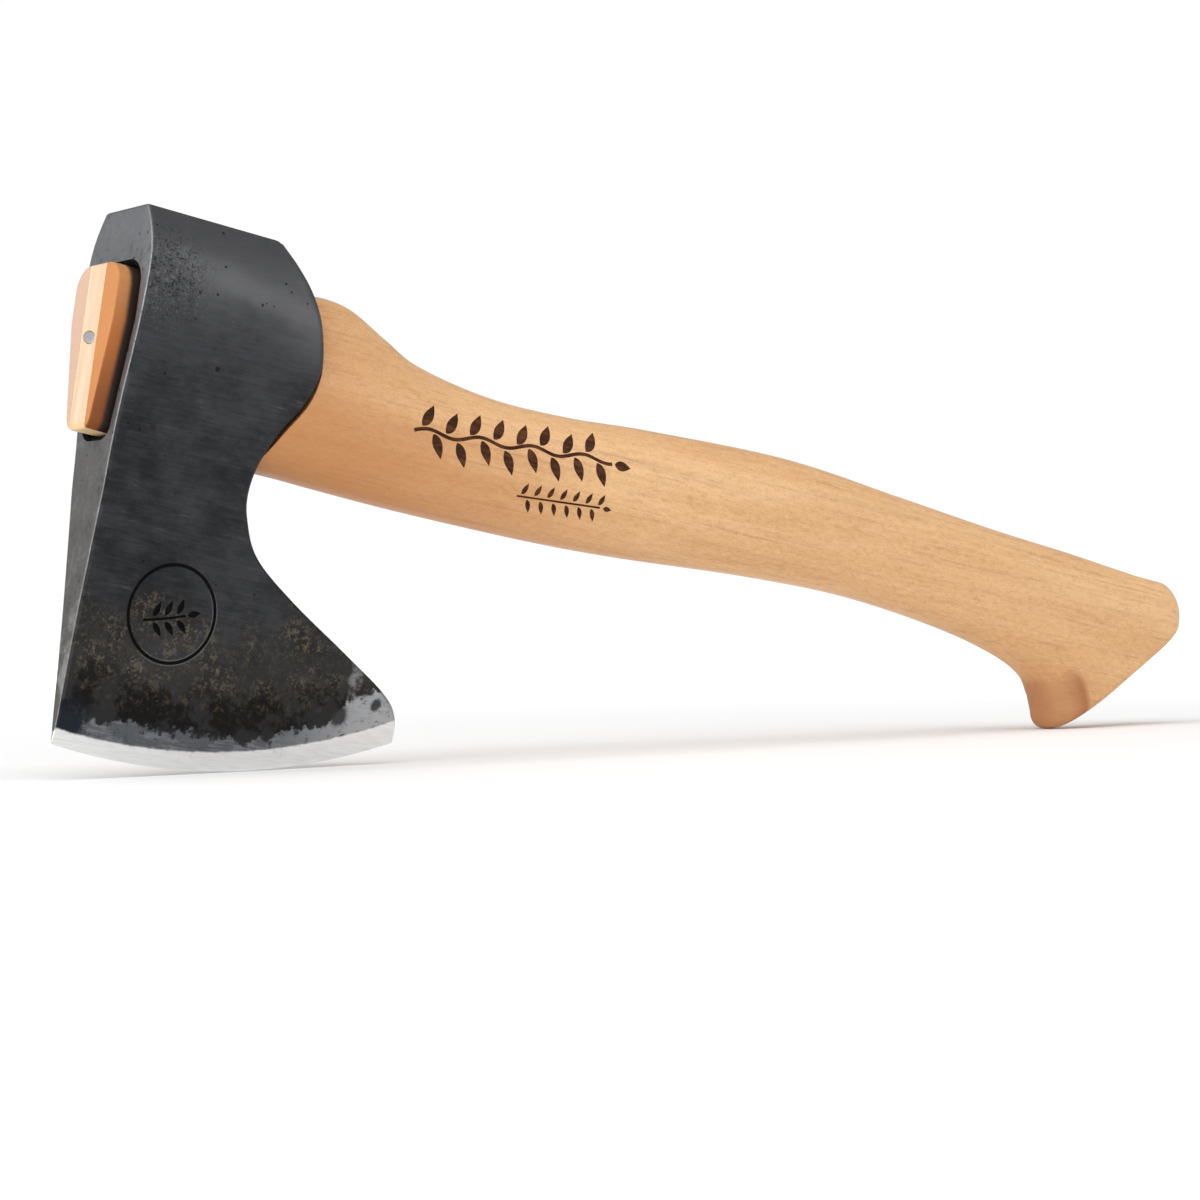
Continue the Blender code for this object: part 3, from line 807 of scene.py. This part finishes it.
def flank_row(pair):
    """Half an oval from the top line to the bottom line, on the -Y side."""
    top_x, top_z, low_x, low_z, half, square_top, square_low = pair
    top, low = np.array((top_x, top_z)), np.array((low_x, low_z))
    row = []
    for angle in np.linspace(math.pi / 2, -math.pi / 2, FLANK_STEPS + 1):
        power = 2 / (square_top if angle > 0 else square_low)
        share = math.copysign(abs(math.sin(angle)) ** power, angle)
        x, z = (top + low) / 2 + (top - low) / 2 * share
        row.append((x, -half * max(math.cos(angle), 0) ** power, z))
    return row


def butt_normal():
    """Angle of the butt's outward direction: the cut touches the nose's circle and the tip's."""
    run, rise = NOSE_CENTRE[0] - TIP_CENTRE[0], NOSE_CENTRE[1] - TIP_CENTRE[1]
    slope = math.atan2(rise, run) - math.asin((NOSE_RADIUS - TIP_RADIUS) / math.hypot(run, rise))
    return slope - math.pi / 2


def on_circle(centre, radius, angle):
    return centre[0] + radius * math.cos(angle), centre[1] + radius * math.sin(angle)


def butt_pairs():
    """The fan of sections that goes round the nose and the tip, down to the slanting cut."""
    last = np.array(PAIRS[-1][4:])
    end = np.array((BUTT_HALF_WIDTH, BUTT_SQUARENESS, TIP_SQUARENESS))
    pairs = []
    for step in range(1, BUTT_STEPS + 1):
        t = 1 - (1 - step / BUTT_STEPS) ** 2
        nose = math.pi / 2 + (butt_normal() - math.pi / 2) * t
        tip = math.pi + (butt_normal() + math.pi) * t
        ends = on_circle(NOSE_CENTRE, NOSE_RADIUS, nose) + on_circle(TIP_CENTRE, TIP_RADIUS, tip)
        pairs.append((*ends, *(last + (end - last) * t)))
    return pairs


def rim_eased(point):
    """Pulls a flank in where it comes close to the cut, so that the butt has a round rim."""
    x, y, z = point
    touch = on_circle(NOSE_CENTRE, NOSE_RADIUS, butt_normal())
    depth = (touch[0] - x) * math.cos(butt_normal()) + (touch[1] - z) * math.sin(butt_normal())
    short = BUTT_ROUND - min(max(depth, 0), BUTT_ROUND)
    inset = BUTT_ROUND - math.sqrt(BUTT_ROUND**2 - short**2)
    return x, y * (1 - inset / BUTT_HALF_WIDTH), z


def handle_mesh():
    pairs = list(curve_through(PAIRS, PAIR_STEPS)) + butt_pairs()
    rows = [[rim_eased(point) for point in flank_row(pair)] for pair in pairs]
    rows.insert(0, [(x, 0, z) for x, y, z in rows[0]])
    rows.append([(x, 0, z) for x, y, z in rows[-1]])
    return grid_mesh("handle", rows)


def head_side_mesh():
    """The head's side outline with its clearance, as a block that shapes the handle's shoulder."""
    rows = curve_through(STATIONS, STATION_STEPS)[: SHOULDER_STATIONS * STATION_STEPS]
    rear = [(x + EYE_GAP, z) for _, x, z, *_ in rows]
    above = rear[0][1] + LEAD
    outline = [(0.0, above), (rear[0][0], above), *rear, (0.0, rear[-1][1])]
    beside = TONGUE_HALF_WIDE + LEAD
    return loft_mesh("head_side", [[(x, y, z) for x, z in outline] for y in (-beside, beside)])


def tongue_mesh():
    """The tongue, with the arris of its proud end rounded over."""
    loops = []
    for angle in quarter(4):
        shrink = TONGUE_CHAMFER * (1 - math.sin(angle))
        loops.append(tongue_loop(TONGUE_CHAMFER * (1 - math.cos(angle)) - TONGUE_PROUD, -shrink))
    loops.append(tongue_loop(TONGUE_ROOT, 0))
    return loft_mesh("tongue", loops)


def wedge_slab(name, grow=0.0, lead=0.0):
    """The wedge as a tapering slab, taller than the tongue. `lead` lengthens it to the front."""
    taper = (WEDGE_TIP_WIDTH - WEDGE_WIDTH) / WEDGE_DEPTH
    loops = []
    for depth in (-lead, WEDGE_DEPTH + 2 * grow):
        half = (WEDGE_WIDTH + taper * depth) / 2 + grow
        x = depth - TONGUE_PROUD
        corners = ((-half, -WEDGE_REACH), (half, -WEDGE_REACH), (half, WEDGE_REACH), (-half, WEDGE_REACH))
        loops.append([(x, y, z) for y, z in corners])
    return loft_mesh(name, loops)


def flecks_along(nodes, own, size, turn, share):
    """Short dark rays along the grain: `size` is their number to the metre along each axis."""
    cells = {"Vector": nodes.stretched(own, size, (0, turn, 0), (turn * 50, 0.3, 0.7)), "Randomness": 1.0}
    near = nodes.add("ShaderNodeTexVoronoi", {}, cells)
    lot = nodes.axis(nodes.add("ShaderNodeTexVoronoi", {}, cells, output="Color"), "X")
    return nodes.step(near, 0.36, 0.18) * nodes.step(lot, 1 - share, 1.0)


def oiled_beech():
    """Steamed beech under oil: fine growth lines, short dark flecks along the grain, darker end grain."""
    made, nodes = new_material("oiled_beech")
    own = own_axes(nodes)
    x, z = nodes.axis(own, "X"), nodes.axis(own, "Z")
    grain = stance.to_3x3() @ Vector((1, 0, 0))
    facing = nodes.add("ShaderNodeNewGeometry", output="Normal")
    pair = {0: facing, 1: grain}
    along = nodes.add("ShaderNodeVectorMath", {"operation": "DOT_PRODUCT"}, pair, output="Value")
    end_grain = nodes.step(abs(along), 0.45, 0.85)
    side_grain = 1 - end_grain

    tone = nodes.streaks(own, (8, 45, 60))
    bands = nodes.streaks(own, (7, 130, 190), (0, math.radians(2), 0), 3.0, 0.6)
    lines = nodes.streaks(own, (22, 600, 900), (0, math.radians(3), 0), 4.0, 0.65)
    shade = nodes.step(tone + bands * 0.7, -0.25, 0.25)
    colour = nodes.blend(shade, (0.690, 0.385, 0.165), (0.825, 0.505, 0.248))
    colour = nodes.blend(nodes.step(bands, 0.02, 0.20) * side_grain * 0.30, colour, (0.46, 0.215, 0.090))
    colour = nodes.blend(nodes.step(lines, 0.02, 0.22) * side_grain * 0.38, colour, (0.40, 0.180, 0.070))
    colour = nodes.blend(nodes.step(lines, -0.04, -0.22) * side_grain * 0.25, colour, (0.80, 0.52, 0.30))

    figure = nodes.streaks(own, (330, 1000, 1000), rough=0.7)
    colour = nodes.blend(nodes.step(figure, 0.0, 0.20) * side_grain * 0.28, colour, (0.42, 0.190, 0.080))
    colour = nodes.blend(nodes.step(figure, 0.0, -0.20) * side_grain * 0.25, colour, (0.88, 0.62, 0.38))
    flecks = (flecks_along(nodes, own, (230, 900, 900), 0.16, 0.90)
              + flecks_along(nodes, own, (380, 1500, 1500), 0.10, 0.80)) * side_grain
    colour = nodes.blend(nodes.maths("MINIMUM", flecks, 1.0) * 0.65, colour, (0.36, 0.150, 0.055))

    pores = nodes.cloud(own, 2200.0, 3.0, 0.7) - 0.5
    pith = nodes.stretched(own, (0.2, 1, 1), shift=(0, 0.040, 0.055))
    kind = {"wave_type": "RINGS", "rings_direction": "X", "wave_profile": "SAW"}
    inputs = {"Vector": pith, "Scale": 160.0, "Distortion": 1.2, "Detail": 3.0, "Detail Scale": 0.8}
    years = nodes.add("ShaderNodeTexWave", kind, inputs)
    colour = nodes.blend(end_grain * 0.7, colour, (0.47, 0.230, 0.115))
    colour = nodes.blend(end_grain * nodes.step(years, 0.45, 1.0) * 0.18, colour, (0.33, 0.135, 0.055))
    colour = nodes.blend(end_grain * nodes.step(pores, 0.02, 0.20) * 0.35, colour, (0.24, 0.09, 0.035))

    # Darker and more orange behind the head and below the shoulder, with painted shade at the knob's tip
    darker_near_head = nodes.step(x + z * 2.2 + tone * 0.05, 0.150, 0.020)
    colour = nodes.blend(darker_near_head * 0.72, colour, (0.45, 0.160, 0.032))
    # Painted shade at the knob's tip
    tip = nodes.distance(own, (0.330, 0, -0.043))
    colour = nodes.blend(nodes.step(tip, 0.030, 0.004) * 0.55, colour, (0.40, 0.145, 0.045))

    # Painted shade where the knob's front rolls over, darkest along its border
    knob_x, knob_z = x - 0.3300, (z + 0.0415) * 0.8
    off = nodes.maths("SQRT", knob_x * knob_x + knob_z * knob_z) + tone * 0.004 + figure * 0.0012
    rolled = nodes.step(off, 0.0142, 0.0118) * nodes.step(z - knob_x * 0.7, -0.0240, -0.0370)
    colour = nodes.blend(rolled * 0.45, colour, (0.43, 0.190, 0.075))
    colour = nodes.blend(rolled * nodes.step(off, 0.0060, 0.0125) * 0.72, colour, (0.34, 0.110, 0.022))

    # The tongue in front of the head: far half pale and pinkish, sides orange with painted shade that grows
    # darker downwards, and a near-black painted shadow where they meet the iron
    proud = nodes.step(x, 0.0015, -0.0005)
    far_half = nodes.step(nodes.axis(own, "Y"), -0.001, 0.001)
    colour = nodes.blend(proud * far_half * 0.75, colour, (0.54, 0.395, 0.315))
    near_end = proud * (1 - far_half) * nodes.step(z, 0.008, -0.018)
    colour = nodes.blend(near_end * 0.55, colour, (0.46, 0.165, 0.040))
    # Painted shade on the proud sides, darker downwards
    proud_side = proud * side_grain
    colour = nodes.blend(proud_side * nodes.step(z, 0.023, 0.002) * 0.90, colour, (0.36, 0.105, 0.010))
    colour = nodes.blend(proud_side * nodes.step(z, 0.004, -0.016) * 0.80, colour, (0.17, 0.040, 0.001))
    # Painted shadow: near black on the sides where they go in under the iron
    gap_shadow = nodes.step(x, -0.0024, -0.0009) * nodes.step(x, 0.0300, 0.0250)
    colour = nodes.blend(gap_shadow * side_grain * 0.97, colour, (0.008, 0.005, 0.004))

    nodes.surface("Base Color", colour)
    nodes.surface("Roughness", 0.45 + lines * 0.25 + flecks * 0.1 + end_grain * 0.15)
    nodes.surface("Coat Weight", 0.10 - proud * 0.10)
    nodes.surface("Coat Roughness", 0.35)
    nodes.surface("Specular IOR Level", 0.40)
    relief = lines * 0.6 - flecks * 0.7 - end_grain * nodes.step(pores, 0.02, 0.20)
    nodes.surface("Normal", nodes.bump(relief, 0.45, 0.00009))
    return made


BURN_DEPTH = 0.00025
SPRIG_START, SPRIG_END = 0.0830, 0.1475
SPRIG_WAVE = 0.0168
SPRIG_RISE = 0.070  # height gained for each unit of length along the grip


def sprig_strokes(start, end, middle, wave, leaf, belly, half, gap):
    """A waving stem with leaves on alternate sides. `middle` gives its line's height at a place."""
    def stem_height(x):
        return middle(x) + wave * math.sin(math.tau * (x - start) / SPRIG_WAVE)

    stem = [(x, stem_height(x)) for x in np.arange(start, end, 0.0004)]
    strokes = [(stem, [half] * len(stem), False)]
    side = 1
    for place in np.arange(start + gap * 0.6, end - leaf * 0.3, gap):
        base = (place, stem_height(place) + side * (half + 0.00040))
        strokes.append(leaf_stroke(base, side * math.radians(52), leaf, belly, side * 0.16))
        side = -side
    tip = (end + 0.0008, stem_height(end))
    strokes.append(leaf_stroke(tip, 0.0, leaf * 0.8, belly * 0.9, 0.0))
    return strokes


def burned_strokes():
    """A bold leafy sprig along the grip's middle and a small one under it."""
    def bold_middle(x):
        return -0.0025 + SPRIG_RISE * (x - 0.083)

    def small_middle(x):
        return -0.0118 + SPRIG_RISE * (x - 0.133)

    bold = sprig_strokes(SPRIG_START, SPRIG_END, bold_middle, wave=0.0008,
                         leaf=0.0066, belly=0.00150, half=0.00048, gap=0.0038)
    small = sprig_strokes(0.118, 0.1455, small_middle, wave=0.0,
                          leaf=0.0034, belly=0.00072, half=0.00026, gap=0.0021)
    return bold + small


def burned_beech():
    """Wood scorched by a hot iron: nearly black where it pressed hard, brown where it was cooler."""
    made, nodes = new_material("burned_beech")
    own = own_axes(nodes)
    char = nodes.cloud(nodes.stretched(own, (180, 700, 900)), 1.0, 4.0, 0.65)
    ash = nodes.cloud(own, 1900.0, 3.0, 0.7)
    colour = nodes.blend(nodes.step(char, 0.38, 0.68), (0.038, 0.013, 0.006), (0.115, 0.042, 0.016))
    colour = nodes.blend(nodes.step(ash, 0.5, 0.75) * 0.30, colour, (0.16, 0.065, 0.026))
    nodes.surface("Specular IOR Level", 0.15)
    nodes.surface("Base Color", colour)
    nodes.surface("Roughness", 0.7 + ash * 0.2)
    nodes.surface("Normal", nodes.bump(char + ash * 0.4, 0.5, 0.00008))
    return made


handle = add_object("beech_handle", handle_mesh())
beech = oiled_beech()
handle.data.materials.append(beech)
shoulder = add_object("head_side", head_side_mesh())
tongue = add_object("tongue", tongue_mesh())
kerf = add_object("kerf", wedge_slab("kerf", KERF_GAP, LEAD))
for tool in (shoulder, tongue, kerf):
    tool.data.materials.append(beech)
cut(tongue, kerf)
cut(handle, shoulder)
cut(handle, tongue, "UNION")
burned = laid_marks("burned_sprigs", burned_strokes(), handle, burned_beech(), BURN_DEPTH)
cut(handle, burned)
finished(handle, [shoulder, burned])
tongue.modifiers.clear()
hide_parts("handle")
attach(handle, "root")


# ---------------------------------------------------------------------------------------------------
# Eye wedge. A tapering slip of pale maple, driven into the kerf to spread the tongue in the eye, then
# sawn off with it, so that its end shows the same outline and the same rounded arris.

CROSS_LENGTH = 0.0058
CROSS_HEIGHT = 0.0029
CROSS_DEPTH = 0.0130
CROSS_TAPER = 0.35
CROSS_Z = 0.0028
CROSS_SLANT = math.radians(12)
CROSS_GAP = 0.00018
CROSS_POINTS = 48


def cross_mesh(name, grow=0.0, lead=0.0):
    """An oval that tapers to a blunt tip. `lead` lengthens it in front of the tongue's end."""
    loops = []
    for depth in (-lead, 0, CROSS_DEPTH + grow):
        size = 1 - (1 - CROSS_TAPER) * max(depth, 0) / CROSS_DEPTH
        loop = []
        for angle in np.arange(CROSS_POINTS) * math.tau / CROSS_POINTS:
            far = (CROSS_LENGTH / 2 * size + grow) * math.cos(angle)
            across = (CROSS_HEIGHT / 2 * size + grow) * math.sin(angle)
            y = far * math.cos(CROSS_SLANT) - across * math.sin(CROSS_SLANT)
            z = far * math.sin(CROSS_SLANT) + across * math.cos(CROSS_SLANT)
            loop.append((depth - TONGUE_PROUD, y, CROSS_Z + z))
        loops.append(loop)
    return loft_mesh(name, loops if lead else loops[1:])


def pale_maple():
    """Sawn maple end grain, with fine pores and a yellower foot."""
    made, nodes = new_material("pale_maple")
    own = own_axes(nodes)
    tone = nodes.streaks(own, (60, 420, 60))
    pores = nodes.streaks(own, (300, 1500, 1500), rough=0.65)
    colour = nodes.blend(nodes.step(tone, -0.3, 0.3), (0.575, 0.395, 0.255), (0.700, 0.515, 0.360))
    colour = nodes.blend(nodes.step(pores, 0.03, 0.22) * 0.30, colour, (0.45, 0.27, 0.13))
    low = nodes.step(nodes.axis(own, "Z"), -0.0165, -0.0195)
    colour = nodes.blend(low * 0.5, colour, (0.60, 0.40, 0.15))
    nodes.surface("Base Color", colour)
    nodes.surface("Roughness", 0.55 + pores * 0.2)
    nodes.surface("Normal", nodes.bump(pores + tone, 0.3, 0.00004))
    return made


wedge = add_object("maple_wedge", wedge_slab("eye_wedge", 0.0, LEAD))
maple = pale_maple()
wedge.data.materials.append(maple)
hole = add_object("cross_hole", cross_mesh("cross_hole", CROSS_GAP, LEAD))
for tool in (hole, tongue):
    tool.data.materials.clear()
    tool.data.materials.append(maple)
cut(wedge, tongue, "INTERSECT")
cut(wedge, hole)
finished(wedge, [hole, tongue, kerf])
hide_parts("eye_wedge")
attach(wedge, "root")


# ---------------------------------------------------------------------------------------------------
# Cross wedge. A small oval of bright steel, tapered and hammered in across the maple slip, then filed
# level with the wood. It keeps the slip from working loose.


def bright_steel():
    """Mild steel filed one way, with a few duller spots."""
    made, nodes = new_material("bright_steel")
    own = own_axes(nodes)
    filing = nodes.cloud(nodes.stretched(own, (300, 600, 4200), (math.radians(35), 0, 0)), 1.0, 2.0)
    spots = nodes.cloud(own, 1400.0, 3.0)
    colour = nodes.blend(nodes.step(spots, 0.4, 0.7), (0.80, 0.81, 0.82), (0.62, 0.62, 0.63))
    colour = nodes.blend(nodes.step(filing, 0.45, 0.7) * 0.4, colour, (0.95, 0.95, 0.95))
    nodes.surface("Base Color", colour)
    nodes.surface("Metallic", 1.0)
    nodes.surface("Roughness", 0.34 + (spots - 0.5) * 0.3)
    nodes.surface("Normal", nodes.bump(filing, 0.5, 0.00005))
    return made


cross = add_object("steel_cross_wedge", cross_mesh("cross_wedge"))
cross.data.materials.append(bright_steel())
bevel = cross.modifiers.new("filed_rim", "BEVEL")
bevel.width = 0.0002
bevel.segments = 2
bevel.limit_method = "ANGLE"
finished(cross, [])
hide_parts("cross_wedge")
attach(cross, "root")
